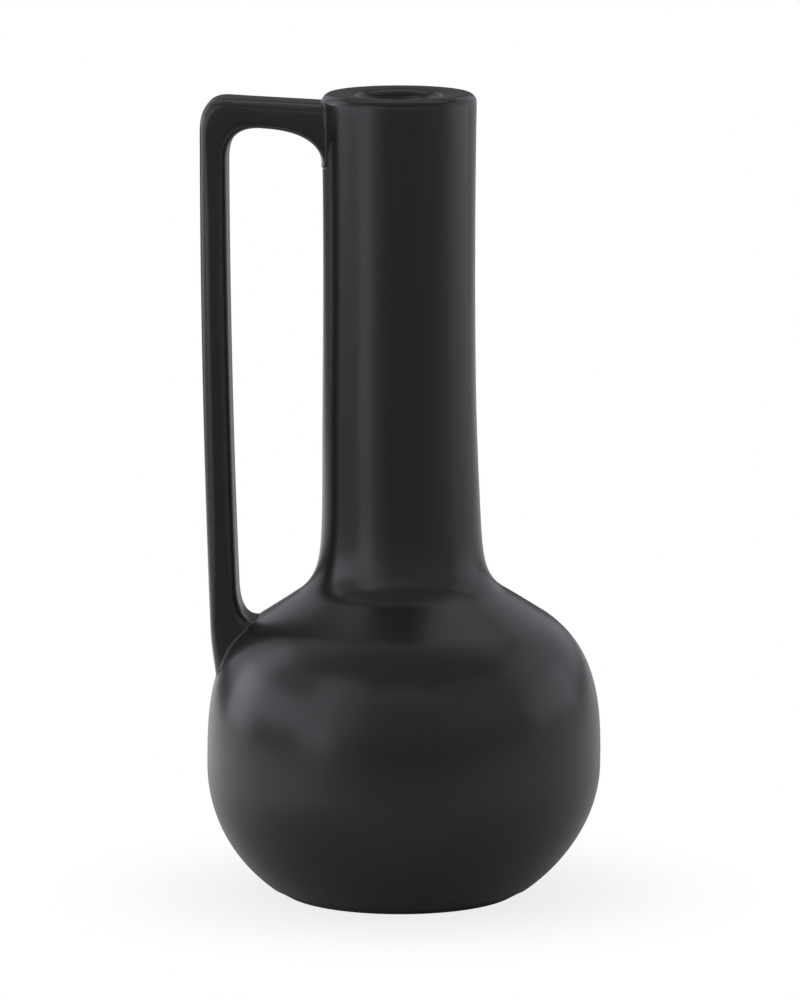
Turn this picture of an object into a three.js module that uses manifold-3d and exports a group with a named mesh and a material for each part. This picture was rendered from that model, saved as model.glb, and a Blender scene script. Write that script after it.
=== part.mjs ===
import * as THREE from 'three';
import { mergeVertices } from 'three/addons/utils/BufferGeometryUtils.js';
import Module from 'manifold-3d';

// A stoneware bottle vase: a round bulb, a long neck with a thick inward lip, and one strap handle.
// Millimetres, +Z up. The origin is on the vase's axis at the table, and the handle points to -X.
// The clay pieces are luted: each joint is a thin layer of fired slip between two of them.

// Whole vase
const vaseHeight = 250;
const wallThickness = 5;

// Foot ring
const footHeight = 3;
const footOuterRadius = 35.6;
const footWidth = 7.6;
const footSplay = 5.2;

// Bulb: an ellipse below its widest level, and a fuller curve above it for the shoulder, which
// turns into a plain cone further in
const bulbRadius = 61.1;
const widestHeight = 41;
const lowerHalfAxis = 51.3;
const upperHalfAxis = 54.3;
const shoulderFullness = 3;
const coneRadius = 44.3;
const floorThickness = 6;
const floorCornerRadius = 8;

// Collar: where the cone turns up, and how far the bulb's clay goes up from there
const collarRadius = 32.7;
const collarRise = 4.4;

// Neck and lip
const neckRootRadius = 25.3;
const neckTopRadius = 23.9;
const neckWaist = 0.7;
const mouthRadius = 12.5;
const lipCrestWidth = 4.7;
const lipOuterRound = 3;
const lipInnerDepth = 3.6;
const lipEdgeHeight = 0.9;
const lipUndercut = 5.5;

// Handle: a strap that leaves the neck as an arm, turns down and lands on the shoulder as a leg
const strapWidth = 18;
const strapEdgeRadius = 3;
const legThickness = 8.5;
const armThickness = 8.6;
const armDrop = 3.1;
const armRise = 2.2;
const legSetback = 1.4;
const legLean = 2.9;
const legBow = 0.95;
const outerCornerRun = 9.2;
const innerCornerRun = 11;
const armFlareLength = 17.7;
const armFlareDepth = 11.3;
const footFlareLength = 5.7;
const footFlareHeight = 11.8;
const heelHeight = 8;
const heelTuck = 2.4;

// Slip joints
const slipThickness = 0.8;
const slipBead = 0.8;
const fitGap = 0.3;

// Fineness of the round shapes
const stepsAround = 60;
const curveSteps = 10;
const collarSteps = 3;
const cornerSteps = 6;
const edgeSteps = 3;

const blackGlaze = { color: 0x282628, roughness: 0.42, metalness: 0 };
const bareClay = { color: 0x6f604c, roughness: 0.85, metalness: 0 };
const firedSlip = { color: 0x343133, roughness: 0.6, metalness: 0 };

const wasm = await Module();
wasm.setup();

// The bulb's outside

function lowerRadiusAt(height, inset = 0) {
  const share = (widestHeight - height) / (lowerHalfAxis - inset);
  return (bulbRadius - inset) * Math.sqrt(1 - share * share);
}

function shoulderHeightAt(radius, inset = 0) {
  const share = Math.pow(radius / (bulbRadius - inset), shoulderFullness);
  return widestHeight + (upperHalfAxis - inset) * Math.pow(1 - share, 1 / shoulderFullness);
}

// The bulb's outside above its widest level: the shoulder's curve and then the cone
function bulbTopHeightAt(radius) {
  return shoulderHeightAt(Math.max(radius, coneRadius)) + Math.max(coneRadius - radius, 0) / coneSlope;
}

// The shoulder's curve, point by point, from the widest level in to the given radius.
// Even steps of angle keep the points close where the curve bends most.
function shoulderCurve(endRadius, inset = 0) {
  const fullRadius = bulbRadius - inset;
  const power = 2 / shoulderFullness;
  const endAngle = Math.acos(Math.pow(endRadius / fullRadius, 1 / power));
  return steps(curveSteps).map((share) => {
    const angle = endAngle * share;
    const radius = fullRadius * Math.pow(Math.cos(angle), power);
    const rise = (upperHalfAxis - inset) * Math.pow(Math.sin(angle), power);
    return new THREE.Vector2(radius, widestHeight + rise);
  });
}

function lowerCurve(startHeight, inset = 0) {
  const halfAxis = lowerHalfAxis - inset;
  const startAngle = Math.asin((widestHeight - startHeight) / halfAxis);
  return steps(curveSteps).map((share) => {
    const angle = startAngle * (1 - share);
    const radius = (bulbRadius - inset) * Math.cos(angle);
    return new THREE.Vector2(radius, widestHeight - halfAxis * Math.sin(angle));
  });
}

function steps(count) {
  return Array.from({ length: count + 1 }, (_, index) => index / count);
}

// The neck's outside: a slight waist, and a flare at its root that meets the cone smoothly

const coneStart = shoulderHeightAt(coneRadius);
const coneSlope = shoulderSlopeAt(coneStart);
const flareStart = coneStart + (coneRadius - collarRadius) / coneSlope;
const collarTop = flareStart + collarRise;
const neckBase = collarTop + slipThickness;
const flareDepth = collarRadius - neckLineAt(flareStart);
const flareLength = flareDepth / coneSlope;

function shoulderSlopeAt(height) {
  const share = (height - widestHeight) / upperHalfAxis;
  const rest = 1 - Math.pow(share, shoulderFullness);
  const steepness = Math.pow(share, shoulderFullness - 1) * Math.pow(rest, 1 / shoulderFullness - 1);
  return (bulbRadius / upperHalfAxis) * steepness;
}

function neckLineAt(height) {
  const share = THREE.MathUtils.clamp((vaseHeight - height) / (vaseHeight - flareStart), 0, 1);
  const waist = 4 * neckWaist * share * (1 - share);
  return neckTopRadius + (neckRootRadius - neckTopRadius) * share * share - waist;
}

function neckRadiusAt(height) {
  return neckLineAt(height) + flareDepth * Math.exp(-(height - flareStart) / flareLength);
}

function collarCurve() {
  return steps(collarSteps).map((share) => pointOnNeck(flareStart + collarRise * share));
}

// Heights are close together at the flare and far apart up the plain neck.
function neckCurve(startHeight, endHeight) {
  const spacing = 2.5;
  return steps(curveSteps).map((share) => {
    return pointOnNeck(startHeight + (endHeight - startHeight) * Math.pow(share, spacing));
  });
}

function pointOnNeck(height) {
  return new THREE.Vector2(neckRadiusAt(height), height);
}

// Turned pieces: a closed half outline, spun round the axis and set down at its seat height

function turned(outline, seatHeight = 0) {
  const points = outline.map((point) => new THREE.Vector2(point.x, point.y - seatHeight));
  const closed = points[0].x > 0 ? [...points, points[0].clone()] : points;
  return new THREE.LatheGeometry(closed, stepsAround).rotateX(Math.PI / 2);
}

function at(radius, height) {
  return new THREE.Vector2(radius, height);
}

function quarterCurve(centre, width, height, startAngle, endAngle) {
  return steps(cornerSteps).map((share) => {
    const angle = startAngle + (endAngle - startAngle) * share;
    return at(centre.x + width * Math.cos(angle), centre.y + height * Math.sin(angle));
  });
}

function footRingGeometry() {
  return turned([
    at(footOuterRadius - footWidth, 0),
    at(footOuterRadius, 0),
    at(footOuterRadius + footSplay, footHeight),
    at(footOuterRadius - footWidth, footHeight),
  ]);
}

const boreRadius = neckTopRadius - wallThickness;

function bulbGeometry() {
  const floorTop = footHeight + floorThickness;
  const cornerTop = floorTop + floorCornerRadius;
  const cornerCentre = at(lowerRadiusAt(cornerTop, wallThickness) - floorCornerRadius, cornerTop);
  const outside = [
    at(0, footHeight),
    ...lowerCurve(footHeight),
    ...shoulderCurve(coneRadius).slice(1),
    ...collarCurve(),
  ];
  const inside = [
    at(boreRadius, collarTop),
    ...shoulderCurve(boreRadius, wallThickness).reverse(),
    ...lowerCurve(cornerTop, wallThickness).reverse().slice(1, -1),
    ...quarterCurve(cornerCentre, floorCornerRadius, floorCornerRadius, 0, -Math.PI / 2),
    at(0, floorTop),
  ];
  return turned([...outside, ...inside], footHeight);
}

function neckJointGeometry() {
  return turned([
    at(boreRadius, collarTop),
    at(neckRadiusAt(collarTop), collarTop),
    at(neckRadiusAt(neckBase), neckBase),
    at(boreRadius, neckBase),
  ], collarTop);
}

function neckGeometry() {
  const outerRoundCentre = at(neckTopRadius - lipOuterRound, vaseHeight - lipOuterRound);
  const innerCentre = at(outerRoundCentre.x - lipCrestWidth, vaseHeight - lipInnerDepth);
  const innerWidth = innerCentre.x - mouthRadius;
  const lipEdgeBottom = innerCentre.y - lipEdgeHeight;
  return turned([
    at(boreRadius, neckBase),
    ...neckCurve(neckBase, outerRoundCentre.y),
    ...quarterCurve(outerRoundCentre, lipOuterRound, lipOuterRound, 0, Math.PI / 2).slice(1),
    ...quarterCurve(innerCentre, innerWidth, lipInnerDepth, Math.PI / 2, Math.PI),
    at(mouthRadius, lipEdgeBottom),
    at(boreRadius, lipEdgeBottom - lipUndercut),
  ], neckBase);
}

// The handle's outline, seen from the side: reach is the distance out from the vase's axis.
// The pads of slip lie between the clay and the strap's coped ends, with a hair gap on each side.

const padOutside = fitGap + slipThickness;
const strapClearance = padOutside + fitGap;
const armTop = vaseHeight - armDrop;
const legReachAtFoot = bulbRadius - legSetback;
const legReachAtTop = legReachAtFoot + legLean;
const legInnerAtFoot = legReachAtFoot - legThickness;
const legInnerAtTop = legReachAtTop - legThickness;

function armTopAt(reach) {
  return armTop + armRise * (reach - boreRadius) / (legReachAtTop - boreRadius);
}

function strapOutline() {
  const undersideAt = (reach) => armTopAt(reach) - armThickness;
  const armRootReach = neckTopRadius + strapClearance;
  const armFlareEnd = armRootReach + armFlareLength;
  const armFlareTip = undersideAt(armRootReach) - armFlareDepth;
  const flareTipReach = legInnerAtFoot - footFlareLength;
  const flareTipHeight = bulbTopHeightAt(flareTipReach) - fitGap;
  const heelBottomReach = legReachAtFoot - heelTuck;
  const heelBottom = bulbTopHeightAt(heelBottomReach) - heelHeight;
  const heelTop = heelBottom + 2 * heelHeight;
  const legMiddle = (armTop + heelTop) / 2;
  const bowPull = 2 * legBow + legLean / 2;
  return roundedShape([
    { reach: boreRadius, height: armTop },
    { reach: legReachAtTop, height: armTopAt(legReachAtTop), run: outerCornerRun },
    { reach: legReachAtFoot + bowPull, height: legMiddle, pull: true },
    { reach: legReachAtFoot, height: heelTop, run: heelHeight / 2 },
    { reach: heelBottomReach, height: heelBottom },
    { reach: flareTipReach, height: heelBottom },
    { reach: flareTipReach, height: flareTipHeight },
    { reach: legInnerAtFoot, height: flareTipHeight, pull: true },
    { reach: legInnerAtFoot, height: flareTipHeight + footFlareHeight },
    { reach: legInnerAtFoot + bowPull, height: legMiddle, pull: true },
    { reach: legInnerAtTop, height: undersideAt(legInnerAtTop), run: innerCornerRun },
    { reach: armFlareEnd, height: undersideAt(armFlareEnd) },
    { reach: armRootReach, height: undersideAt(armRootReach), pull: true },
    { reach: armRootReach, height: armFlareTip },
    { reach: boreRadius, height: armFlareTip },
  ]);
}

// Straight sides between the corners. A corner with a run is rounded off over that length of both
// its sides, and a corner marked pull draws the curve between its two neighbours towards it.
function roundedShape(corners) {
  const points = corners.map((corner) => at(-corner.reach, corner.height));
  const shape = new THREE.Shape();
  corners.forEach((corner, index) => {
    if (corner.pull) {
      return;
    }
    const point = points[index];
    const before = points[(index + points.length - 1) % points.length];
    const after = points[(index + 1) % points.length];
    const start = towards(point, before, corner.run ?? 0);
    if (index === 0) {
      shape.moveTo(start.x, start.y);
    } else if (corners[index - 1].pull) {
      shape.quadraticCurveTo(before.x, before.y, start.x, start.y);
    } else {
      shape.lineTo(start.x, start.y);
    }
    if (corner.run) {
      const end = towards(point, after, corner.run);
      shape.quadraticCurveTo(point.x, point.y, end.x, end.y);
    }
  });
  return shape;
}

function towards(from, to, distance) {
  return to.clone().sub(from).setLength(distance).add(from);
}

// The strap as a solid, with rounded long edges, grown on every side by the given amount
function strapSolid(growth = 0) {
  const geometry = new THREE.ExtrudeGeometry(strapOutline(), {
    depth: strapWidth - 2 * strapEdgeRadius,
    curveSegments: cornerSteps,
    bevelThickness: strapEdgeRadius + growth,
    bevelSize: strapEdgeRadius,
    bevelOffset: growth - strapEdgeRadius,
    bevelSegments: edgeSteps,
  });
  geometry.translate(0, 0, strapEdgeRadius - strapWidth / 2);
  return solidOf(geometry.rotateX(Math.PI / 2));
}

// The vase's outside as a full round solid, grown by the given amount along its surface normal
function grownCore(growth, bottom, top) {
  const curve = [
    ...lowerCurve(footHeight),
    ...shoulderCurve(coneRadius).slice(1),
    ...collarCurve(),
    ...neckCurve(collarTop, vaseHeight).slice(1),
  ];
  const grown = curve.map((point, index) => {
    const before = curve[Math.max(index - 1, 0)];
    const after = curve[Math.min(index + 1, curve.length - 1)];
    const along = after.clone().sub(before).normalize();
    return at(point.x + along.y * growth, point.y - along.x * growth);
  });
  const kept = grown.filter((point) => point.y > bottom && point.y < top);
  return solidOf(turned([at(0, kept[0].y), ...kept, at(0, kept[kept.length - 1].y)]));
}

function solidOf(geometry) {
  geometry.deleteAttribute('normal');
  geometry.deleteAttribute('uv');
  const merged = mergeVertices(geometry, 1e-4);
  const index = merged.index.array;
  const triangles = [];
  for (let corner = 0; corner < index.length; corner += 3) {
    const [a, b, c] = index.slice(corner, corner + 3);
    if (a !== b && b !== c && c !== a) {
      triangles.push(a, b, c);
    }
  }
  return new wasm.Manifold(new wasm.Mesh({
    numProp: 3,
    vertProperties: new Float32Array(merged.attributes.position.array),
    triVerts: new Uint32Array(triangles),
  }));
}

function geometryOf(solid) {
  const mesh = solid.getMesh();
  const geometry = new THREE.BufferGeometry();
  geometry.setAttribute('position', new THREE.BufferAttribute(mesh.vertProperties, 3));
  geometry.setIndex(new THREE.BufferAttribute(mesh.triVerts, 1));
  geometry.computeVertexNormals();
  return geometry;
}

const middle = (collarTop + armTop) / 2;

function handleGeometry() {
  return geometryOf(strapSolid().subtract(grownCore(strapClearance, 0, 2 * vaseHeight)));
}

function padGeometry(bottom, top) {
  const shell = grownCore(padOutside, bottom, top).subtract(grownCore(fitGap, 0, 2 * vaseHeight));
  return geometryOf(shell.intersect(strapSolid(slipBead)));
}

// Assembly

const vase = new THREE.Group();
vase.name = 'stoneware_vase';

function add(name, geometry, finish, seatHeight = 0) {
  const mesh = new THREE.Mesh(geometry, new THREE.MeshStandardMaterial(finish));
  mesh.name = name;
  mesh.position.z = seatHeight;
  vase.add(mesh);
}

add('foot_ring', footRingGeometry(), bareClay);
add('bulb', bulbGeometry(), blackGlaze, footHeight);
add('neck_slip_joint', neckJointGeometry(), firedSlip, collarTop);
add('neck', neckGeometry(), blackGlaze, neckBase);
add('handle', handleGeometry(), blackGlaze);
add('handle_top_slip_joint', padGeometry(middle, 2 * vaseHeight), firedSlip);
add('handle_foot_slip_joint', padGeometry(0, middle), firedSlip);

export default vase;
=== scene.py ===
import math

import bmesh
import bpy
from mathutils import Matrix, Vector


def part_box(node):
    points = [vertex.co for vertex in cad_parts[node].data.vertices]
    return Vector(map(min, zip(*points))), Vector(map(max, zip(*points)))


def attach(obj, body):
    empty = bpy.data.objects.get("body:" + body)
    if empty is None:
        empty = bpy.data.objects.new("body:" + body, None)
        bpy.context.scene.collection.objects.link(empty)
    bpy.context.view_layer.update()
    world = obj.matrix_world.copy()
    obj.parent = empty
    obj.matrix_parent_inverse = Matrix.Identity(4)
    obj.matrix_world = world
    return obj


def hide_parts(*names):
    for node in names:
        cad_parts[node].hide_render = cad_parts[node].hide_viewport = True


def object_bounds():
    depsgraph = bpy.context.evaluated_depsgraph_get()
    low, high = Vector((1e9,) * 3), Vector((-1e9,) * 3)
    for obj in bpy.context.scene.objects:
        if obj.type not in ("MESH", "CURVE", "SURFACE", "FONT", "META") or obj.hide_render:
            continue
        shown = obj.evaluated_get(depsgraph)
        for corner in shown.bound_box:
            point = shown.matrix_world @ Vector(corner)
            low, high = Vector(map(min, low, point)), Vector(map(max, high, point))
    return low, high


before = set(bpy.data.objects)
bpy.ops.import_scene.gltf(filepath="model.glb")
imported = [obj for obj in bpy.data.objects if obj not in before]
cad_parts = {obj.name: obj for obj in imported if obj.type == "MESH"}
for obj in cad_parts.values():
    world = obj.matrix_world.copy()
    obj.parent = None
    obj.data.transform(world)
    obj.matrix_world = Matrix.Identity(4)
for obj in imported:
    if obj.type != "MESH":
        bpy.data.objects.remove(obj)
cad_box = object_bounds()

# Foot ring: the ring of stoneware that the vase stands on, thrown with the bulb and trimmed to a
# splayed outside. Its underside is wiped free of glaze, so the pale bare clay shows as a thin line
# where it meets the table, and the black glaze ends just above it in a slightly wandering edge.

mm = 0.001
foot_ring_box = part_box("foot_ring")
foot_height = foot_ring_box[1].z
foot_top_radius = foot_ring_box[1].x
foot_splay = 5.2 * mm
foot_width = 7.6 * mm
foot_edge_run = 0.6 * mm
glaze_line_height = 0.75 * mm
glaze_line_wander = 0.5 * mm
bare_clay_colour = (0.17, 0.135, 0.095, 1)
dark_clay_colour = (0.085, 0.066, 0.047, 1)
clay_speck_colour = (0.045, 0.034, 0.026, 1)
glaze_colour = (0.0137, 0.0126, 0.0146, 1)
refractive_index = 1.5
crease_angle = math.radians(50)

# The vase isn't quite true: the neck was set down a little off the bulb's axis, and it and the foot
# have leaned towards the handle in the kiln. Each shift is given by its amount, the height at which
# half of it is reached, and the length over which it grows, which is negative for the foot.
joint_offset = (-0.74 * mm, 95.2 * mm, 1.4 * mm)
neck_lean = (-0.8 * mm, 132 * mm, 9.3 * mm)
foot_lean = (-1.35 * mm, 19.8 * mm, -8.5 * mm)


class Value:
    """A number or a vector that varies over a surface. Sums written with it add Math nodes."""

    def __init__(self, nodes, socket):
        self.nodes = nodes
        self.socket = socket

    def out(self, name):
        return Value(self.nodes, self.socket.node.outputs[name])

    def math(self, operation, first, second=0.0):
        return self.nodes.node("ShaderNodeMath", {"operation": operation}, {0: first, 1: second})

    def __add__(self, other):
        return self.math("ADD", self, other)

    def __radd__(self, other):
        return self.math("ADD", other, self)

    def __sub__(self, other):
        return self.math("SUBTRACT", self, other)

    def __rsub__(self, other):
        return self.math("SUBTRACT", other, self)

    def __mul__(self, other):
        return self.math("MULTIPLY", self, other)

    def __rmul__(self, other):
        return self.math("MULTIPLY", other, self)

    def __truediv__(self, other):
        return self.math("DIVIDE", self, other)

    def __rtruediv__(self, other):
        return self.math("DIVIDE", other, self)

    def __pow__(self, other):
        return self.math("POWER", self, other)

    def __neg__(self):
        return self.math("MULTIPLY", self, -1.0)


class Nodes:
    """Adds nodes to a tree: a type, its settings, and then the values or links of its sockets."""

    def __init__(self, tree):
        self.tree = tree

    def node(self, kind, settings=None, sockets=None, output=0):
        node = self.tree.nodes.new(kind)
        for name, setting in (settings or {}).items():
            setattr(node, name, setting)
        for name, value in (sockets or {}).items():
            for each in value if isinstance(value, list) else [value]:
                if isinstance(each, Value):
                    self.tree.links.new(each.socket, node.inputs[name])
                else:
                    node.inputs[name].default_value = each
        return Value(self, node.outputs[output]) if node.outputs else node


def function_of(number, operation, plain):
    """The same rule for a number worked out here and for one that a node tree works out."""
    if isinstance(number, Value):
        return number.math(operation, number)
    return plain(number)


def cosine(angle):
    return function_of(angle, "COSINE", math.cos)


def sine(angle):
    return function_of(angle, "SINE", math.sin)


def exponential(number):
    return function_of(number, "EXPONENT", math.exp)


def lean_at(height):
    shift = 0.0
    for amount, middle, length in (joint_offset, neck_lean, foot_lean):
        shift = shift + amount / (1 + exponential((middle - height) / length))
    return shift


def line(share, start, end):
    return start + (end - start) * share


def bend(share, start, corner, end):
    """From start to end, drawn towards the corner between them."""
    rest = 1 - share
    return start * rest * rest + corner * 2 * rest * share + end * share * share


def turned_piece(name, sizes, outline, material):
    """A piece made on the wheel. Its outline is a list of stretches, each with its number of rows
    and its radius and height from 0 to 1 along it, that goes out underneath and up outside."""
    steps_around = 192
    merge_distance = 0.005 * mm
    tree = bpy.data.node_groups.new(name, "GeometryNodeTree")
    nodes = Nodes(tree)
    sockets = {}
    for size in sizes:
        sockets[size] = tree.interface.new_socket(size, in_out="INPUT", socket_type="NodeSocketFloat")
    tree.interface.new_socket("Geometry", in_out="OUTPUT", socket_type="NodeSocketGeometry")
    size_input = nodes.node("NodeGroupInput")
    place = nodes.node("GeometryNodeInputPosition")
    across = nodes.node("ShaderNodeSeparateXYZ", None, {"Vector": place})
    turn = (across + 0.5) * (2 * math.pi)
    share = across.out("Y") + 0.5
    stretches = []
    for rows, radius, height in outline({size: size_input.out(size) for size in sizes}, share):
        grid = nodes.node("GeometryNodeMeshGrid", None, {
            "Size X": 1.0, "Size Y": 1.0, "Vertices X": steps_around + 1, "Vertices Y": rows + 1})
        point = nodes.node("ShaderNodeCombineXYZ", None, {
            "X": radius * cosine(turn) + lean_at(height), "Y": radius * sine(turn), "Z": height})
        stretches.append(nodes.node("GeometryNodeSetPosition", None, {
            "Geometry": grid, "Position": point}))
    joined = nodes.node("GeometryNodeJoinGeometry", None, {"Geometry": stretches})
    merged = nodes.node("GeometryNodeMergeByDistance", None, {
        "Geometry": joined, "Distance": merge_distance})
    smooth = nodes.node("GeometryNodeSetShadeSmooth", None, {"Geometry": merged})
    realized = nodes.node("GeometryNodeRealizeInstances", None, {"Geometry": smooth})
    finished = nodes.node("GeometryNodeSetMaterial", None, {
        "Geometry": realized, "Material": material})
    nodes.node("NodeGroupOutput", None, {"Geometry": finished})

    piece = bpy.data.objects.new(name, bpy.data.meshes.new(name))
    bpy.context.scene.collection.objects.link(piece)
    modifier = piece.modifiers.new("turning", "NODES")
    modifier.node_group = tree
    for size, amount in sizes.items():
        modifier[sockets[size].identifier] = amount
    evaluated = piece.evaluated_get(bpy.context.evaluated_depsgraph_get())
    mesh = bpy.data.meshes.new_from_object(evaluated)
    piece.modifiers.remove(modifier)
    piece.data = mesh
    mesh.set_sharp_from_angle(angle=crease_angle)
    return piece


def mixed_colour(nodes, factor, first, second):
    """One colour over another, by a factor that varies over the surface."""
    return nodes.node("ShaderNodeMix", {"data_type": "RGBA"}, {0: factor, 6: first, 7: second}, 2)


def noise(nodes, place, features_per_metre, detail=3.0, roughness=0.5):
    return nodes.node("ShaderNodeTexNoise", None, {
        "Vector": place, "Scale": features_per_metre, "Detail": detail, "Roughness": roughness})


def rising(nodes, value, start, end):
    """0 below start, 1 above end, and smooth between them."""
    return nodes.node("ShaderNodeMapRange", {"interpolation_type": "SMOOTHSTEP"}, {
        "Value": value, "From Min": start, "From Max": end})


def new_material(name):
    material = bpy.data.materials.new(name)
    material.use_nodes = True
    material.node_tree.nodes.clear()
    return material, Nodes(material.node_tree)


def finish_material(nodes, shader):
    nodes.node("ShaderNodeOutputMaterial", None, {"Surface": shader})


def bare_clay():
    """Dry stoneware with darker clouds and specks, up to the edge of the glaze."""
    clouds_per_metre = 60
    grains_per_metre = 1900
    wanders_per_metre = 45
    cloud_range = (0.35, 0.7)
    speck_range = (0.62, 0.7)
    glaze_edge_width = 0.25 * mm
    glaze_level = 0.7
    grain_depth = 0.15 * mm
    relief_strength = 0.35
    clay_roughness = 0.85
    glaze_smoothing = 0.5
    material, nodes = new_material("bare_clay")
    place = nodes.node("ShaderNodeTexCoord", None, None, "Object")
    height = nodes.node("ShaderNodeSeparateXYZ", None, {"Vector": place}, "Z")
    cloud = noise(nodes, place, clouds_per_metre)
    grain = noise(nodes, place, grains_per_metre, detail=4.0, roughness=0.6)
    wander = noise(nodes, place, wanders_per_metre, detail=2.0)
    edge = glaze_line_height + (wander - 0.5) * (2 * glaze_line_wander)
    glazed = rising(nodes, height, edge, edge + glaze_edge_width)
    cloudy = rising(nodes, cloud, *cloud_range)
    clay = mixed_colour(nodes, cloudy, bare_clay_colour, dark_clay_colour)
    specked = mixed_colour(nodes, rising(nodes, grain, *speck_range), clay, clay_speck_colour)
    relief = nodes.node("ShaderNodeBump", None, {
        "Strength": relief_strength, "Distance": grain_depth,
        "Height": grain * (1 - glazed) + glazed * glaze_level})
    shader = nodes.node("ShaderNodeBsdfPrincipled", None, {
        "Base Color": mixed_colour(nodes, glazed, specked, glaze_colour),
        "Roughness": clay_roughness - glazed * glaze_smoothing,
        "IOR": refractive_index, "Normal": relief})
    finish_material(nodes, shader)
    return material


def foot_ring_outline(size, share):
    """Down its inside, out underneath, up its splayed outside and back in under the bulb."""
    inner = size["inner radius"]
    outer = size["outer radius"]
    top = size["top radius"]
    height = size["height"]
    run = size["edge run"]
    splay_share = run / height
    beside = outer + (top - outer) * splay_share
    return [
        (3, inner, line(share, height, run)),
        (6, bend(share, inner, inner, inner + run), bend(share, run, 0.0, 0.0)),
        (8, line(share, inner + run, outer - run), 0.0),
        (6, bend(share, outer - run, outer, beside), bend(share, 0.0, 0.0, run)),
        (6, line(share, beside, top), line(share, run, height)),
        (6, line(share, top, inner), height),
    ]


foot_ring = turned_piece("foot_ring_wiped", {
    "inner radius": foot_top_radius - foot_splay - foot_width,
    "outer radius": foot_top_radius - foot_splay,
    "top radius": foot_top_radius,
    "height": foot_height,
    "edge run": foot_edge_run,
}, foot_ring_outline, bare_clay())
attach(foot_ring, "root")
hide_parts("foot_ring")

# Bulb: the round body of the vase, thrown in stoneware with a wall of about 5 mm. It is an ellipse
# below its widest level, and above it a fuller shoulder that turns into a cone and then up into the
# collar where the neck is luted on. Black glaze covers it inside and out and fires to a soft satin.

bulb_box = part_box("bulb")
bulb_radius = bulb_box[1].x
collar_top = bulb_box[1].z
widest_height = 41 * mm
lower_half_axis = 51.3 * mm
upper_half_axis = 54.3 * mm
shoulder_fullness = 3
cone_radius = 44.3 * mm
collar_radius = 32.7 * mm
wall_thickness = 5 * mm
floor_thickness = 6 * mm
floor_corner_radius = 8 * mm
neck_top_radius = 23.9 * mm
neck_root_radius = 25.3 * mm
neck_waist = 0.7 * mm
bore_radius = neck_top_radius - wall_thickness
vase_height = cad_box[1].z
glaze_roughness = 0.26
glaze_relief = 0.05
thin_glaze_colour = (0.05, 0.043, 0.038, 1)


def shoulder_height_at(radius, inset=0.0):
    share = (radius / (bulb_radius - inset)) ** shoulder_fullness
    return widest_height + (upper_half_axis - inset) * (1 - share) ** (1 / shoulder_fullness)


def shoulder_slope_at(height):
    """How fast the shoulder draws in as it rises."""
    share = (height - widest_height) / upper_half_axis
    rest = 1 - share ** shoulder_fullness
    steepness = share ** (shoulder_fullness - 1) * rest ** (1 / shoulder_fullness - 1)
    return bulb_radius / upper_half_axis * steepness


def lower_start_angle(height, inset=0.0):
    return math.asin((widest_height - height) / (lower_half_axis - inset))


def shoulder_end_angle(radius, inset=0.0):
    return math.acos((radius / (bulb_radius - inset)) ** (shoulder_fullness / 2))


cone_start = shoulder_height_at(cone_radius)
cone_slope = shoulder_slope_at(cone_start)
flare_start = cone_start + (cone_radius - collar_radius) / cone_slope
neck_spread = neck_root_radius - neck_top_radius
flare_depth = collar_radius - neck_root_radius
flare_length = flare_depth / cone_slope


def swell(share, amount):
    """Nothing at both ends of a length, and this amount halfway along it."""
    return 4 * amount * share * (1 - share)


def neck_radius_at(height):
    """The neck's line, with its slight waist, and the flare at its root."""
    share = (vase_height - height) / (vase_height - flare_start)
    flare = flare_depth * exponential((flare_start - height) / flare_length)
    return neck_top_radius + neck_spread * share * share - swell(share, neck_waist) + flare


def bulb_outline(size, share):
    """From the middle of the underside out and up to the collar, and down inside to the floor."""
    radius = size["radius"]
    wall = size["wall"]
    base = size["base height"]
    bore = size["bore radius"]
    top = size["collar top"]
    floor_top = base + size["floor thickness"]
    corner = size["floor corner"]
    power = 2 / shoulder_fullness

    def lower(angle, inset):
        drop = (lower_half_axis - inset) * sine(angle)
        return (radius - inset) * cosine(angle), widest_height - drop

    def shoulder(angle, inset):
        rise = (upper_half_axis - inset) * sine(angle) ** power
        return (radius - inset) * cosine(angle) ** power, widest_height + rise

    start = lower_start_angle(foot_height)
    end = shoulder_end_angle(cone_radius)
    inner_end = shoulder_end_angle(bore_radius, wall_thickness)
    corner_top = foot_height + floor_thickness + floor_corner_radius
    corner_angle = lower_start_angle(corner_top, wall_thickness)
    corner_radius, corner_height = lower(corner_angle, wall)
    collar_height = line(share, flare_start, top)
    turn = share * (math.pi / 2)
    return [
        (8, share * (radius * math.cos(start)), base),
        (64, *lower((1 - share) * start, 0.0)),
        (96, *shoulder(share * end, 0.0)),
        (24, line(share, cone_radius, collar_radius), line(share, cone_start, flare_start)),
        (30, neck_radius_at(collar_height), collar_height),
        (4, line(share, neck_radius_at(top), bore), top),
        (4, bore, line(share, top, shoulder_height_at(bore_radius, wall_thickness))),
        (40, *shoulder((1 - share) * inner_end, wall)),
        (24, *lower(share * corner_angle, wall)),
        (8, corner_radius - corner * (1 - cosine(turn)), corner_height - corner * sine(turn)),
        (6, (1 - share) * (corner_radius - corner), floor_top),
    ]


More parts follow.
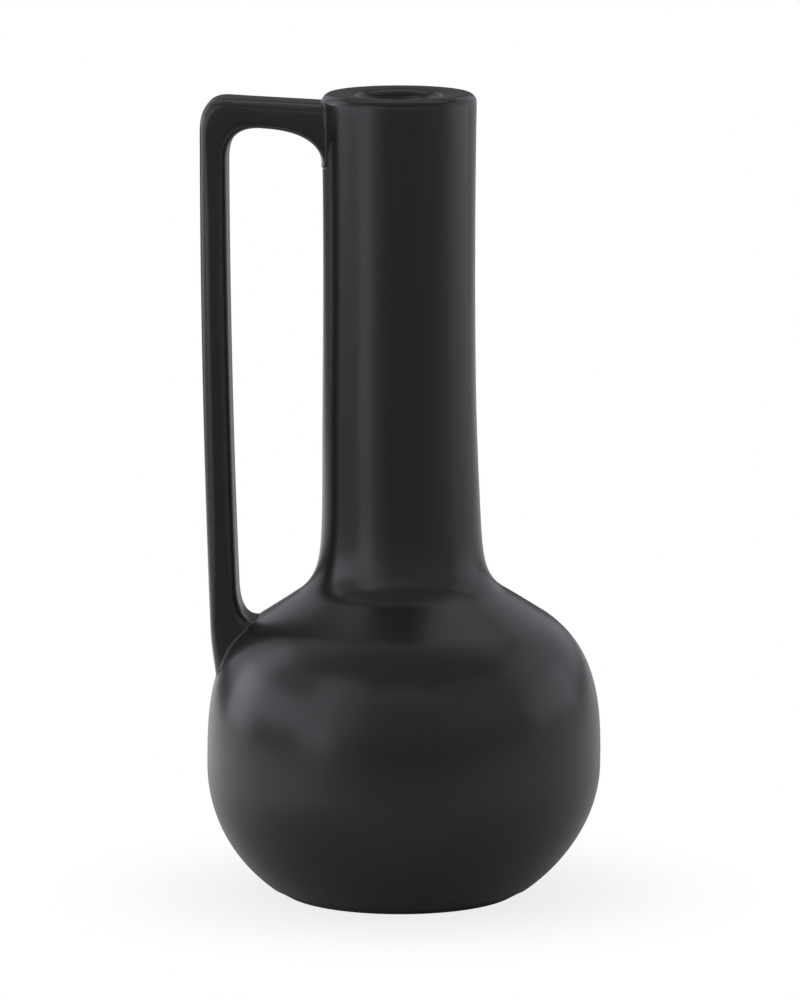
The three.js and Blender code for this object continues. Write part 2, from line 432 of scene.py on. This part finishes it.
def black_glaze(name, finish_roughness, colour, relief_strength):
    """The satin glaze: one near-black colour with faint clouds, a fine skin, and a thinner and
    browner film where it has drawn back from a sharp edge."""
    clouds_per_metre = 26
    cloud_range = (0.3, 0.72)
    deep_share = 0.86
    ripples_per_metre = 700
    fine_ripples_per_metre = 2600
    ripple_share = 0.6
    ripple_depth = 0.05 * mm
    film_share = 0.35
    film_share_by_skin = 0.6
    roughness_change = 0.05
    material, nodes = new_material(name)
    place = nodes.node("ShaderNodeTexCoord", None, None, "Object")
    cloud = noise(nodes, place, clouds_per_metre)
    skin = noise(nodes, place, ripples_per_metre, roughness=0.55)
    fine_skin = noise(nodes, place, fine_ripples_per_metre, detail=2.0)
    thin = nodes.node("ShaderNodeAttribute", {"attribute_name": "thin_glaze"}, None, "Fac")
    deep_colour = tuple(channel * deep_share for channel in colour[:3]) + (1,)
    clouded = mixed_colour(nodes, rising(nodes, cloud, *cloud_range), colour, deep_colour)
    film = thin * (film_share + skin * film_share_by_skin)
    roughness = finish_roughness + (skin - 0.5) * roughness_change + (cloud - 0.5) * roughness_change
    relief = nodes.node("ShaderNodeBump", None, {
        "Strength": relief_strength, "Distance": ripple_depth,
        "Height": skin * ripple_share + fine_skin * (1 - ripple_share)})
    shader = nodes.node("ShaderNodeBsdfPrincipled", None, {
        "Base Color": mixed_colour(nodes, film, clouded, thin_glaze_colour),
        "Roughness": roughness, "IOR": refractive_index, "Normal": relief})
    finish_material(nodes, shader)
    return material


satin_glaze = black_glaze("black_glaze", glaze_roughness, glaze_colour, glaze_relief)

bulb = turned_piece("bulb_glazed", {
    "radius": bulb_radius,
    "wall": wall_thickness,
    "base height": foot_height,
    "bore radius": bore_radius,
    "collar top": collar_top,
    "floor thickness": floor_thickness,
    "floor corner": floor_corner_radius,
}, bulb_outline, satin_glaze)
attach(bulb, "root")
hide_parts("bulb")

# Slip joint between the bulb and the neck: a ring of joining slip, wiped flush while wet and glazed
# over, so that all that shows of it is the smooth line of the flare running through.

neck_joint_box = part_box("neck_slip_joint")
slip_colour = (0.0142, 0.0131, 0.0151, 1)
slip_roughness = 0.28
slip_relief = 0.06


def ring_outline(size, share):
    """Out underneath, up outside, in on top and down the bore."""
    low = size["low height"]
    high = size["high height"]
    bore = size["bore radius"]
    height = line(share, low, high)
    return [
        (4, line(share, bore, neck_radius_at(low)), low),
        (8, neck_radius_at(height), height),
        (4, line(share, neck_radius_at(high), bore), high),
        (2, bore, line(share, high, low)),
    ]


glazed_slip = black_glaze("fired_slip", slip_roughness, slip_colour, slip_relief)

neck_joint = turned_piece("neck_joint_wiped", {
    "low height": neck_joint_box[0].z,
    "high height": neck_joint_box[1].z,
    "bore radius": bore_radius,
}, ring_outline, glazed_slip)
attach(neck_joint, "root")
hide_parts("neck_slip_joint")

# Neck: a tube thrown apart from the bulb, with its rim folded inwards to a thick lip round a narrow
# mouth. The crest of the lip is flat and shows a soft glint, and the bore below it is glazed too.

neck_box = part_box("neck")
neck_base = neck_box[0].z
mouth_radius = 12.5 * mm
lip_crest_width = 4.7 * mm
lip_crest_fall = 0.3 * mm
lip_outer_round = 3 * mm
lip_inner_depth = 3.6 * mm
lip_edge_height = 0.9 * mm
lip_undercut = 5.5 * mm


def neck_outline(size, share):
    """Out on the joint, up outside, over the lip to the mouth, and down the bore."""
    base = size["base height"]
    top = size["top height"]
    bore = size["bore radius"]
    mouth = size["mouth radius"]
    outer_round = size["lip outer round"]
    inner_depth = size["lip inner depth"]
    crest_outer = neck_top_radius - outer_round
    crest_inner = crest_outer - size["lip crest width"]
    crest_fall = size["lip crest fall"]
    inner_width = crest_inner - mouth
    edge_top = top - inner_depth
    edge_bottom = edge_top - size["lip edge height"]
    undercut_bottom = edge_bottom - size["lip undercut"]
    close_at_the_flare = 2.5
    height = base + (top - outer_round - base) * share ** close_at_the_flare
    round_width = neck_radius_at(top - outer_round) - crest_outer
    turn = share * (math.pi / 2)
    return [
        (4, line(share, bore, neck_radius_at(base)), base),
        (120, neck_radius_at(height), height),
        (16, crest_outer + round_width * cosine(turn), top - outer_round * (1 - sine(turn))),
        (8, line(share, crest_outer, crest_inner), top - crest_fall * share * share),
        (14, crest_inner - inner_width * sine(turn),
         edge_top + (inner_depth - crest_fall) * cosine(turn)),
        (2, mouth, line(share, edge_top, edge_bottom)),
        (6, line(share, mouth, bore), line(share, edge_bottom, undercut_bottom)),
        (24, bore, line(share, undercut_bottom, base)),
    ]


neck = turned_piece("neck_glazed", {
    "base height": neck_base,
    "top height": vase_height,
    "bore radius": bore_radius,
    "mouth radius": mouth_radius,
    "lip outer round": lip_outer_round,
    "lip crest width": lip_crest_width,
    "lip crest fall": lip_crest_fall,
    "lip inner depth": lip_inner_depth,
    "lip edge height": lip_edge_height,
    "lip undercut": lip_undercut,
}, neck_outline, satin_glaze)
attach(neck, "root")
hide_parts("neck")

# Handle: one strap of clay, pulled flat and bent while soft. It leaves the neck under the lip as a
# level arm, turns down through a tight corner, and comes down as a long leg that lands on the
# shoulder. Both ends are coped to the vase and pressed on, so they spread into it, and the long
# edges are smoothed by a wet finger.

handle_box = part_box("handle")
strap_width = handle_box[1].y - handle_box[0].y
leg_thickness = 8.5 * mm
arm_thickness = 8.6 * mm
arm_drop = 3.1 * mm
arm_rise = 2.2 * mm
leg_setback = 1.4 * mm
leg_lean = 2.9 * mm
leg_bow = 0.95 * mm
outer_corner_run = 8.4 * mm
outer_corner_drop = 10.5 * mm
inner_corner_run = 11 * mm
arm_flare_length = 18.2 * mm
arm_flare_depth = 11.3 * mm
foot_flare_length = 5.7 * mm
foot_flare_height = 11.8 * mm
heel_height = 8 * mm
heel_tuck = 2.4 * mm
strap_clearance = 0.9 * mm
cope_gap = 0.3 * mm
face_crown = 0.12 * mm

# Rows of faces along the strap
root_steps = 22
arm_steps = 4
corner_steps = 18
leg_steps = 44
heel_steps = 8
foot_steps = 12
landing_steps = heel_steps + foot_steps

# How round the long edges are: across the strap, and into its thickness
outer_edge = (4.1 * mm, 3.5 * mm)
inner_edge_of_leg = (3.8 * mm, 3.3 * mm)
inner_edge_of_arm = (1.7 * mm, 1.5 * mm)


def bulb_top_height_at(radius):
    """The bulb's outside above its widest level: the shoulder's curve, and then the cone."""
    return shoulder_height_at(max(radius, cone_radius)) + max(cone_radius - radius, 0) / cone_slope


arm_top = vase_height - arm_drop
leg_reach_at_foot = bulb_radius - leg_setback
leg_reach_at_top = leg_reach_at_foot + leg_lean
arm_root_reach = neck_top_radius + strap_clearance
arm_flare_end = arm_root_reach + arm_flare_length
leg_inner_at_foot = leg_reach_at_foot - leg_thickness
leg_inner_at_top = leg_reach_at_top - leg_thickness
flare_tip_reach = leg_inner_at_foot - foot_flare_length
flare_tip_height = bulb_top_height_at(flare_tip_reach) - cope_gap
leg_flare_top = flare_tip_height + foot_flare_height
heel_bottom_reach = leg_reach_at_foot - heel_tuck
heel_bottom = bulb_top_height_at(heel_bottom_reach) - heel_height
heel_top = heel_bottom + 2 * heel_height


def toward(start, end, distance):
    return start + (end - start).normalized() * distance


def arm_top_at(reach):
    return arm_top + arm_rise * (reach - bore_radius) / (leg_reach_at_top - bore_radius)


def underside_at(reach):
    return arm_top_at(reach) - arm_thickness


arm_flare_tip = underside_at(arm_root_reach) - arm_flare_depth


def from_0_to_1(number):
    return min(1, max(0, number))


def bowed(point):
    """The leg bows out a little between the corner and the heel."""
    share = from_0_to_1((point.y - heel_top) / (arm_top - heel_top))
    return Vector((point.x + swell(share, leg_bow), point.y))


def strap_stations():
    """Pairs of points along the strap's outer and inner line, each as reach and height, from the
    coped root at the neck to the coped foot on the shoulder."""
    stations = []
    inner_flare_end = Vector((arm_flare_end, underside_at(arm_flare_end)))
    inner_flare_bend = Vector((arm_root_reach, underside_at(arm_root_reach)))
    inner_flare_tip = Vector((arm_root_reach, arm_flare_tip))
    for step in range(root_steps):
        inner = bend(step / root_steps, inner_flare_tip, inner_flare_bend, inner_flare_end)
        stations.append((Vector((inner.x, arm_top_at(inner.x))), inner))

    outer_corner = Vector((leg_reach_at_top, arm_top_at(leg_reach_at_top)))
    inner_corner = Vector((leg_inner_at_top, underside_at(leg_inner_at_top)))
    heel_corner = Vector((leg_reach_at_foot, heel_top))
    inner_leg_end = Vector((leg_inner_at_foot, leg_flare_top))
    outer_start = Vector((arm_flare_end, arm_top_at(arm_flare_end)))
    outer_turn = (toward(outer_corner, outer_start, outer_corner_run), outer_corner,
                  toward(outer_corner, heel_corner, outer_corner_drop))
    inner_turn = (toward(inner_corner, inner_flare_end, inner_corner_run), inner_corner,
                  toward(inner_corner, inner_leg_end, inner_corner_run))
    for step in range(arm_steps):
        share = step / arm_steps
        stations.append((line(share, outer_start, outer_turn[0]),
                         line(share, inner_flare_end, inner_turn[0])))
    for step in range(corner_steps):
        share = step / corner_steps
        stations.append((bend(share, *outer_turn), bend(share, *inner_turn)))

    heel_start = toward(heel_corner, outer_corner, heel_height / 2)
    heel_low = Vector((heel_bottom_reach, heel_bottom))
    heel_end = toward(heel_corner, heel_low, heel_height / 2)
    top_tilt = outer_turn[2].y - inner_turn[2].y
    foot_tilt = heel_start.y - inner_leg_end.y
    top_middle = (outer_turn[2].y + inner_turn[2].y) / 2
    foot_middle = (heel_start.y + inner_leg_end.y) / 2
    tilt_decay = 7
    for step in range(leg_steps):
        share = step / leg_steps
        tilt = top_tilt * (1 - share) ** tilt_decay + foot_tilt * share ** tilt_decay
        middle = line(share, top_middle, foot_middle)
        outer_share = (middle + tilt / 2 - outer_turn[2].y) / (heel_start.y - outer_turn[2].y)
        inner_share = (middle - tilt / 2 - inner_turn[2].y) / (inner_leg_end.y - inner_turn[2].y)
        stations.append((line(outer_share, outer_turn[2], heel_start),
                         line(inner_share, inner_turn[2], inner_leg_end)))

    reach_per_drop = heel_tuck / (heel_top - heel_bottom)
    landing_step = 0.01 * mm
    landing = heel_end
    while landing.y > bulb_top_height_at(landing.x) + cope_gap:
        landing = landing - Vector((reach_per_drop, 1)) * landing_step
    inner_foot = (inner_leg_end, Vector((leg_inner_at_foot, flare_tip_height)),
                  Vector((flare_tip_reach, flare_tip_height)))
    heel_share = heel_steps / landing_steps
    for step in range(heel_steps):
        share = step / heel_steps
        stations.append((bend(share, heel_start, heel_corner, heel_end),
                         bend(share * heel_share, *inner_foot)))
    for step in range(foot_steps + 1):
        share = step / foot_steps
        stations.append((line(share, heel_end, landing),
                         bend(line(share, heel_share, 1), *inner_foot)))
    return [(bowed(outer), bowed(inner)) for outer, inner in stations]


def strap_section(thickness, inner_edge):
    """The strap cut across: points as (across, depth, roundness), round its four soft edges."""
    face_steps = 12
    side_steps = 3
    edge_steps = 8
    most_for_both_edges = 0.98
    half = strap_width / 2
    outer_run, outer_depth = outer_edge
    inner_run, inner_depth = inner_edge
    spare = most_for_both_edges * thickness / (outer_depth + inner_depth)
    outer_depth *= min(1, spare)
    inner_depth *= min(1, spare)
    section = []
    for step in range(face_steps):
        across = line(step / face_steps, outer_run - half, half - outer_run)
        section.append((across, face_crown * ((across / half) ** 2), 0.0))
    for step in range(edge_steps):
        angle = math.pi / 2 * step / edge_steps
        crown = face_crown * ((half - outer_run) / half) ** 2 * (1 - step / edge_steps)
        section.append((half - outer_run * (1 - math.sin(angle)),
                        outer_depth * (1 - math.cos(angle)) + crown, math.sin(2 * angle)))
    for step in range(side_steps):
        section.append((half, line(step / side_steps, outer_depth, thickness - inner_depth), 0.0))
    for step in range(edge_steps):
        angle = math.pi / 2 * step / edge_steps
        section.append((half - inner_run * (1 - math.cos(angle)),
                        thickness - inner_depth * (1 - math.sin(angle)), math.sin(2 * angle)))
    for step in range(face_steps):
        section.append((line(step / face_steps, half - inner_run, inner_run - half), thickness, 0.0))
    for step in range(edge_steps):
        angle = math.pi / 2 * step / edge_steps
        section.append((inner_run * (1 - math.sin(angle)) - half,
                        thickness - inner_depth * (1 - math.cos(angle)), math.sin(2 * angle)))
    for step in range(side_steps):
        section.append((-half, line(step / side_steps, thickness - inner_depth, outer_depth), 0.0))
    for step in range(edge_steps):
        angle = math.pi / 2 * step / edge_steps
        crown = face_crown * ((half - outer_run) / half) ** 2 * step / edge_steps
        section.append((outer_run * (1 - math.cos(angle)) - half,
                        outer_depth * (1 - math.sin(angle)) + crown, math.sin(2 * angle)))
    return section


def neck_wall_at(across, height, gap):
    """Where the leaning neck's outside is, on the handle's side."""
    lip_start = vase_height - lip_outer_round
    radius = neck_radius_at(min(height, lip_start))
    if height > lip_start:
        over = min(height - lip_start, lip_outer_round)
        radius = neck_top_radius - lip_outer_round + math.sqrt(lip_outer_round ** 2 - over ** 2)
    return lean_at(height) - math.sqrt((radius + gap) ** 2 - across ** 2)


def strap_rings():
    """The strap's skin as rings of points, with its root on the neck and its foot on the shoulder."""
    stations = strap_stations()
    rings = []
    roundness = []
    for index, (outer, inner) in enumerate(stations):
        thickness = (inner - outer).length
        into = (inner - outer) / thickness
        leg_share = from_0_to_1((index - root_steps) / corner_steps)
        inner_edge = tuple(line(leg_share, arm, leg)
                           for arm, leg in zip(inner_edge_of_arm, inner_edge_of_leg))
        ring = []
        for across, depth, _ in strap_section(thickness, inner_edge):
            place = outer + into * depth
            ring.append(Vector((-place.x, across, place.y)))
        rings.append(ring)
        roundness.append([point[2] for point in strap_section(thickness, inner_edge)])
    root_moves = [neck_wall_at(point.y, point.z, cope_gap) - point.x for point in rings[0]]
    furthest_reach = 0.999 * bulb_radius
    foot_moves = []
    for point in rings[-1]:
        reach = min(math.hypot(point.x, point.y), furthest_reach)
        foot_moves.append(bulb_top_height_at(reach) + cope_gap - point.z)
    for step in range(root_steps):
        fade = (1 - step / root_steps) ** 2
        for point, move in zip(rings[step], root_moves):
            point.x += move * fade
    for step in range(landing_steps + 1):
        fade = (step / landing_steps) ** 2
        for point, move in zip(rings[step - landing_steps - 1], foot_moves):
            point.z += move * fade
    return rings, roundness


def shoulder_radius_at(height):
    share = (height - widest_height) / upper_half_axis
    return bulb_radius * (1 - share ** shoulder_fullness) ** (1 / shoulder_fullness)


def snapped(point, gap):
    """The nearest place on the vase's outside, straight across for the neck and the steep sides of
    the bulb, and straight down for the shoulder."""
    steep_from = 0.9 * bulb_radius
    if point.z > flare_start:
        return Vector((neck_wall_at(point.y, point.z, gap), point.y, min(point.z, vase_height)))
    reach = math.hypot(point.x, point.y)
    if reach > steep_from:
        grown = (shoulder_radius_at(point.z) + gap) / reach
        return Vector((point.x * grown, point.y * grown, point.z))
    return Vector((point.x, point.y, bulb_top_height_at(reach) + gap))


def capped(ring, gap):
    """Rings that close a strap's end, drawn in to its middle along the vase's surface."""
    cap_steps = 4
    middle = sum(ring, Vector()) / len(ring)
    rings = []
    for step in range(1, cap_steps):
        rings.append([snapped(point.lerp(middle, step / cap_steps), gap) for point in ring])
    return rings, snapped(middle, gap)


def skinned_piece(name, rings, first_pole, last_pole, material, roundness=None):
    """A closed mesh over rings of points, with a pole at each end. Where roundness is given, one
    number for each of the rings' points, the glaze is thin by as much."""
    count = len(rings[0])
    points = [first_pole] + [point for ring in rings for point in ring] + [last_pole]
    faces = []
    for side in range(count):
        after = (side + 1) % count
        faces.append((0, 1 + after, 1 + side))
        for row in range(len(rings) - 1):
            near = 1 + row * count
            far = near + count
            faces.append((near + side, near + after, far + after, far + side))
        last = 1 + (len(rings) - 1) * count
        faces.append((last + side, last + after, len(points) - 1))
    mesh = bpy.data.meshes.new(name)
    mesh.from_pydata(points, [], faces)
    shaped = bmesh.new()
    shaped.from_mesh(mesh)
    bmesh.ops.recalc_face_normals(shaped, faces=shaped.faces)
    shaped.to_mesh(mesh)
    shaped.free()
    mesh.shade_smooth()
    mesh.set_sharp_from_angle(angle=crease_angle)
    mesh.materials.append(material)
    if roundness:
        attribute = mesh.attributes.new("thin_glaze", "FLOAT", "POINT")
        for index, amount in enumerate(roundness, start=1):
            attribute.data[index].value = amount
    piece = bpy.data.objects.new(name, mesh)
    bpy.context.scene.collection.objects.link(piece)
    return piece


handle_rings, handle_roundness = strap_rings()
root_cap, root_pole = capped(handle_rings[0], cope_gap)
foot_cap, foot_pole = capped(handle_rings[-1], cope_gap)
no_arris = [0.0] * len(handle_rings[0])
arris = sum([no_arris] * len(root_cap) + handle_roundness + [no_arris] * len(foot_cap), [])
handle = skinned_piece("handle_strap", root_cap[::-1] + handle_rings + foot_cap,
                       root_pole, foot_pole, satin_glaze, arris)
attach(handle, "root")
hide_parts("handle")

# Slip joints of the handle: a pad of joining slip under each coped end, squeezed out all round and
# smoothed with a finger into a small fillet, then glazed with the rest. At the top it fills the step
# between the arm and the lip.

joint_sink = 0.05 * mm
pad_gap = cope_gap / 2
pad_inset_share = 0.12

# How far each fillet runs out: at the lowest point of its pad, what it is drawn towards halfway up,
# and at the highest point
top_joint_fillets = (0.7 * mm, 0.6 * mm, 1.2 * mm)
foot_joint_fillets = (2.2 * mm, 1.3 * mm, 1.0 * mm)


def along_the_strap(rings, side, distance):
    """The point on the strap's skin at this distance from its end, on one line along it."""
    travelled = 0
    for near, far in zip(rings, rings[1:]):
        step = (far[side] - near[side]).length
        if travelled + step >= distance:
            return near[side].lerp(far[side], (distance - travelled) / step)
        travelled += step
    return rings[-1][side]


def joint_bead(name, rings, fillet_at, material):
    """A closed pad of slip between the strap's end, the first of the rings, and the vase."""
    fillet_steps = 8
    height_above_face = 1 * mm
    end = rings[0]
    count = len(end)
    middle = sum(end, Vector()) / count
    fillet = [[] for _ in range(fillet_steps + 1)]
    for side, point in enumerate(end):
        along = end[(side + 1) % count] - end[side - 1]
        inside = rings[1][side] - point
        face = snapped(point, height_above_face) - snapped(point, 0.0)
        outwards = along.cross(face).normalized()
        if outwards.dot(point - middle) < 0:
            outwards.negate()
        run = fillet_at(point)
        on_strap = along_the_strap(rings, side, run)
        sunk = middle + inside.normalized() * run - on_strap
        on_strap = on_strap + sunk.normalized() * joint_sink
        on_vase = snapped(point + outwards * run, -joint_sink)
        corner = snapped(point, 0.0)
        for step, row in enumerate(fillet):
            row.append(bend(step / fillet_steps, on_strap, corner, on_vase))
    strap_side = [[point.lerp(middle, pad_inset_share) for point in end]]
    strap_cap, strap_pole = capped(strap_side[0], pad_gap)
    vase_cap, vase_pole = capped(fillet[-1], -joint_sink)
    return skinned_piece(name, strap_cap[::-1] + strap_side + fillet + vase_cap,
                         strap_pole, vase_pole, material)


def top_fillet_at(point):
    share = from_0_to_1((point.z - arm_flare_tip) / (arm_top - arm_flare_tip))
    return bend(share, *top_joint_fillets)


def foot_fillet_at(point):
    share = from_0_to_1((point.z - heel_bottom) / (flare_tip_height - heel_bottom))
    return bend(share, *foot_joint_fillets)


top_bead = joint_bead("handle_top_bead", handle_rings, top_fillet_at, glazed_slip)
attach(top_bead, "root")
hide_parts("handle_top_slip_joint")

foot_bead = joint_bead("handle_foot_bead", handle_rings[::-1], foot_fillet_at, glazed_slip)
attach(foot_bead, "root")
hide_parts("handle_foot_slip_joint")

# Floor: a wide pale sheet that the vase stands on. The camera sees it as white with the vase's soft
# shadow. In the glaze it shows a painted reflection: for glossy rays it glows white a short way out on
# the handle's side and faintly so on the other. In front and beyond the handle its colour is darkened
# as painted shade, which the glaze shows as dark.

floor_half_width = 6.0
floor_colour = (0.74, 0.74, 0.74)
white = (1, 1, 1, 1)
shadow_glow = 0.82
# How strong the painted reflection glow is on the side away from the handle
right_glow = 0.3
# Painted shade: how much the floor's colour is darkened in front and beyond the handle
dark_share = 0.85

# Where each of these starts and where it is complete, in metres from the vase's axis
shadow_edge = (0.036, 0.115)
glow_rise = (0.03, 0.22)
glow_fall = (0.42, 0.7)
glow_front_edge = (0.12, 0.36)
front_edge = (0.3, 0.6)
left_edge = (0.5, 0.78)


def floor_sheet():
    material, nodes = new_material("floor_sheet")
    seen_by_camera = nodes.node("ShaderNodeLightPath", None, None, "Is Camera Ray")
    seen_in_gloss = seen_by_camera.out("Is Glossy Ray") + seen_by_camera.out("Is Transmission Ray")
    place = nodes.node("ShaderNodeTexCoord", None, None, "Object")
    distance = nodes.node("ShaderNodeVectorMath", {"operation": "LENGTH"}, {0: place}, "Value")
    rightness = nodes.node("ShaderNodeSeparateXYZ", None, {"Vector": place}, "X")
    leftness = -rightness
    frontness = -rightness.out("Y")

    def glow_along(outwards):
        return rising(nodes, outwards, *glow_rise) * (1 - rising(nodes, outwards, *glow_fall))

    white_share = shadow_glow + rising(nodes, distance, *shadow_edge) * (1 - shadow_glow)
    # Painted reflection: for glossy and transmission rays the sheet glows white in bands to the left
    # and right of the vase, though it is no lamp
    painted_side_glow = glow_along(leftness) + glow_along(rightness) * right_glow
    beside_share = 1 - rising(nodes, frontness, *glow_front_edge)
    glow = seen_by_camera * white_share + seen_in_gloss * painted_side_glow * beside_share
    # Painted shade: the sheet's colour darkens far out in front and beyond the handle, so that the
    # glaze reflects it as dark
    dimmed_in_front = 1 - rising(nodes, frontness, *front_edge) * dark_share
    dimmed_at_left = 1 - rising(nodes, leftness, *left_edge) * dark_share
    colour = nodes.node("ShaderNodeVectorMath", {"operation": "SCALE"}, {
        0: floor_colour, "Scale": dimmed_in_front * dimmed_at_left}, "Vector")
    sheet = nodes.node("ShaderNodeBsdfDiffuse", None, {"Color": colour})
    bright = nodes.node("ShaderNodeEmission", None, {"Color": white, "Strength": 1.0})
    finish_material(nodes, nodes.node("ShaderNodeMixShader", None, {0: glow, 1: sheet, 2: bright}))
    return material


floor_mesh = bpy.data.meshes.new("floor")
floor_corners = [(-1, -1), (1, -1), (1, 1), (-1, 1)]
floor_mesh.from_pydata([(x * floor_half_width, y * floor_half_width, 0) for x, y in floor_corners],
                       [], [(0, 1, 2, 3)])
floor_mesh.materials.append(floor_sheet())
floor = bpy.data.objects.new("floor", floor_mesh)
bpy.context.scene.collection.objects.link(floor)

# Camera: in front and slightly to the right of the handle's plane, a little above the vase, with a
# long lens.

view_azimuth = math.radians(3)
camera_distance = 2.406
camera_height = 0.511
aim_height = 0.1234
aim_offset = 0.00128
photo_height = 1000
focal_length_in_pixels = 7877
sensor_width = 24

to_camera = Vector((math.sin(view_azimuth), -math.cos(view_azimuth), 0))
to_the_right = Vector((math.cos(view_azimuth), math.sin(view_azimuth), 0))
camera_data = bpy.data.cameras.new("camera")
camera_data.sensor_width = sensor_width
camera_data.lens = sensor_width * focal_length_in_pixels / photo_height
camera = bpy.data.objects.new("camera", camera_data)
bpy.context.scene.collection.objects.link(camera)
camera.location = to_camera * camera_distance + Vector((0, 0, camera_height))
aim = Vector((0, 0, aim_height)) - to_the_right * aim_offset
camera.rotation_euler = (aim - camera.location).to_track_quat("-Z", "Y").to_euler()
bpy.context.scene.camera = camera

# Lights: soft boxes that stand on the floor all round the vase, brightest on the handle's side and
# darkest in front and behind, under a ceiling that is darker in front. Their edges are what gives the
# satin glaze its long soft lines.

box_distance = 0.95
low_base_top = 0.1
base_top = 0.17
middle_top = 0.45
band_bottom = 0.62
band_top = 0.8
box_top = 1.05
cool_white = (0.97, 0.972, 1.05)


def from_camera(turn):
    """The level direction this many degrees round from the camera's, positive to its right."""
    angle = math.radians(turn)
    return to_camera * math.cos(angle) + to_the_right * math.sin(angle)


def soft_box(name, first_turn, last_turn, bottom, top, brightness):
    """An upright area lamp between two turns. Its brightness is how bright its face is."""
    lamp = bpy.data.lights.new(name, "AREA")
    lamp.shape = "RECTANGLE"
    lamp.size = 2 * box_distance * math.tan(math.radians(last_turn - first_turn) / 2)
    lamp.size_y = top - bottom
    lamp.energy = brightness * lamp.size * lamp.size_y * math.pi
    lamp.color = cool_white
    box = bpy.data.objects.new(name, lamp)
    bpy.context.scene.collection.objects.link(box)
    outwards = from_camera((first_turn + last_turn) / 2)
    box.location = outwards * box_distance + Vector((0, 0, (bottom + top) / 2))
    box.rotation_euler = (-outwards).to_track_quat("-Z", "Y").to_euler()
    box.visible_camera = False


def standing_box(name, first_turn, last_turn, *tiers):
    """Soft boxes one on the other, each given by the height of its top and how bright its face is."""
    bottom = 0
    for tier, (top, brightness) in enumerate(tiers):
        soft_box(f"{name}_{tier}", first_turn, last_turn, bottom, top, brightness)
        bottom = top


standing_box("front", -25, 25, (base_top, 0.33), (band_bottom, 0.42), (band_top, 0.75), (box_top, 0.42))
standing_box("front_right", 25, 80, (base_top, 0.36), (box_top, 0.5))
standing_box("right", 80, 125, (low_base_top, 0.45), (middle_top, 1.0), (box_top, 0.8))
standing_box("back_right", 125, 165, (base_top, 0.3), (box_top, 0.65))
standing_box("back", 165, 195, (base_top, 0.03), (box_top, 0.16))
standing_box("back_left", 195, 235, (base_top, 0.1), (box_top, 0.65))
standing_box("far_left", 235, 260, (base_top, 1.8), (middle_top, 2.2), (box_top, 1.4))
standing_box("left", 260, 298, (low_base_top, 0.3), (middle_top, 1.4), (box_top, 0.6))
standing_box("left_strip", 298, 319, (base_top, 1.6), (box_top, 1.25))
standing_box("front_left", 319, 335, (base_top, 0.55), (band_bottom, 0.8), (band_top, 0.95),
             (box_top, 0.8))

# The ceiling is seen above the edge, and it changes over the turn from its front to its back. Both
# are given as parts of a direction's length.
ceiling_front = 0.34
ceiling_back = 0.78
ceiling_edge = (0.68, 0.8)
ceiling_turn = (-0.15, 0.35)


def ceiling():
    world = bpy.data.worlds.new("ceiling")
    world.use_nodes = True
    world.node_tree.nodes.clear()
    nodes = Nodes(world.node_tree)
    seen_by_camera = nodes.node("ShaderNodeLightPath", None, None, "Is Camera Ray")
    direction = nodes.node("ShaderNodeTexCoord", None, None, "Generated")
    frontness = nodes.node("ShaderNodeVectorMath", {"operation": "DOT_PRODUCT"}, {
        0: direction, 1: tuple(to_camera)}, "Value")
    height = nodes.node("ShaderNodeSeparateXYZ", None, {"Vector": direction}, "Z")
    behind = rising(nodes, -frontness, *ceiling_turn)
    brightness = ceiling_front + behind * (ceiling_back - ceiling_front)
    above = rising(nodes, height, *ceiling_edge)
    strength = seen_by_camera + (1 - seen_by_camera) * above * brightness
    background = nodes.node("ShaderNodeBackground", None, {"Color": white, "Strength": strength})
    nodes.node("ShaderNodeOutputWorld", None, {"Surface": background})
    return world


bpy.context.scene.world = ceiling()
bpy.context.scene.view_settings.view_transform = "Standard"
